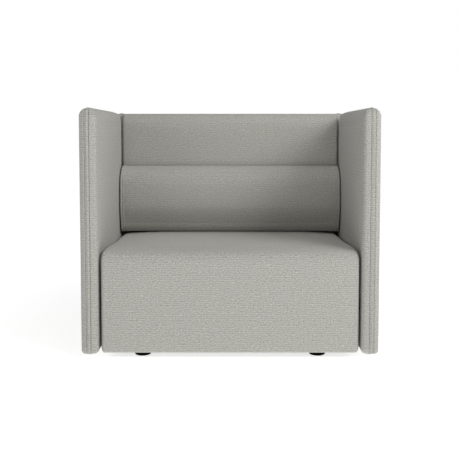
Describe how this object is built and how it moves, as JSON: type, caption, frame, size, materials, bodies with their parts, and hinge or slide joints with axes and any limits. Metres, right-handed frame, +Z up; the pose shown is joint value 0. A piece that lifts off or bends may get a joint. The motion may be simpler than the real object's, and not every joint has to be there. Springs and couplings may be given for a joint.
{
  "type": "upholstered lounge chair",
  "caption": "Wide high-sided lounge chair in light grey woven fabric, with upholstered side panels and back, a deep crowned seat, a loose lumbar bolster and low levelling feet.",
  "frame": {"origin": "on the floor under the middle of the chair's overall box", "axes": "+X to the right as seen from the front, +Y to the rear, +Z up; -Y is the open front of the seat"},
  "size_m": [1.2, 0.82, 1.01],
  "materials": {
    "woven_fabric": "matte melange weave",
    "upholstery_foam": "open-cell foam",
    "frame_timber": "sawn and planed",
    "hardboard": "pressed board",
    "jute_webbing": "woven strap",
    "dust_cloth": "non-woven cloth",
    "zinc_steel": "zinc plated",
    "black_plastic": "moulded"
  },
  "bodies": {
    "chair": {"back_inner_board": "hardboard", "back_inner_cover": "woven_fabric", "back_inner_foam": "upholstery_foam", "back_outer_board": "hardboard", "back_outer_cover": "woven_fabric", "back_outer_foam": "upholstery_foam", "back_rails": "frame_timber", "back_stiles": "frame_timber", "back_welt": "woven_fabric", "foot_plates": "zinc_steel", "left_panel_inner_board": "hardboard", "left_panel_inner_cover": "woven_fabric", "left_panel_inner_foam": "upholstery_foam", "left_panel_outer_board": "hardboard", "left_panel_outer_cover": "woven_fabric", "left_panel_outer_foam": "upholstery_foam", "left_panel_rails": "frame_timber", "left_panel_stiles": "frame_timber", "left_panel_welt": "woven_fabric", "panel_packers": "frame_timber", "panel_screws": "zinc_steel", "right_panel_inner_board": "hardboard", "right_panel_inner_cover": "woven_fabric", "right_panel_inner_foam": "upholstery_foam", "right_panel_outer_board": "hardboard", "right_panel_outer_cover": "woven_fabric", "right_panel_outer_foam": "upholstery_foam", "right_panel_rails": "frame_timber", "right_panel_stiles": "frame_timber", "right_panel_welt": "woven_fabric", "seat_centre_stretcher": "frame_timber", "seat_corner_blocks": "frame_timber", "seat_cover": "woven_fabric", "seat_dust_cover": "dust_cloth", "seat_foam_core": "upholstery_foam", "seat_foam_wrap": "upholstery_foam", "seat_foot_boards": "frame_timber", "seat_front_rail": "frame_timber", "seat_left_rail": "frame_timber", "seat_left_side_cover": "woven_fabric", "seat_rear_rail": "frame_timber", "seat_right_rail": "frame_timber", "seat_right_side_cover": "woven_fabric", "seat_webbing_crosswise": "jute_webbing", "seat_webbing_lengthwise": "jute_webbing", "seat_welts": "woven_fabric"},
    "bolster": {"bolster_core": "upholstery_foam", "bolster_end_caps": "woven_fabric", "bolster_welts": "woven_fabric", "bolster_wrap": "woven_fabric"},
    "front_left_foot": {"front_left_foot_pad": "black_plastic", "front_left_foot_stem": "zinc_steel"},
    "front_right_foot": {"front_right_foot_pad": "black_plastic", "front_right_foot_stem": "zinc_steel"},
    "rear_left_foot": {"rear_left_foot_pad": "black_plastic", "rear_left_foot_stem": "zinc_steel"},
    "rear_right_foot": {"rear_right_foot_pad": "black_plastic", "rear_right_foot_stem": "zinc_steel"}
  },
  "joints": [
    {"name": "bolster_lift", "type": "slide", "parent": "chair", "child": "bolster", "axis": [0, 0, 1], "range_m": [0, 0.6]},
    {"name": "front_left_foot_level", "type": "slide", "parent": "chair", "child": "front_left_foot", "axis": [0, 0, -1], "range_m": [0, 0.012]},
    {"name": "front_right_foot_level", "type": "slide", "parent": "chair", "child": "front_right_foot", "axis": [0, 0, -1], "range_m": [0, 0.012]},
    {"name": "rear_left_foot_level", "type": "slide", "parent": "chair", "child": "rear_left_foot", "axis": [0, 0, -1], "range_m": [0, 0.012]},
    {"name": "rear_right_foot_level", "type": "slide", "parent": "chair", "child": "rear_right_foot", "axis": [0, 0, -1], "range_m": [0, 0.012]}
  ]
}
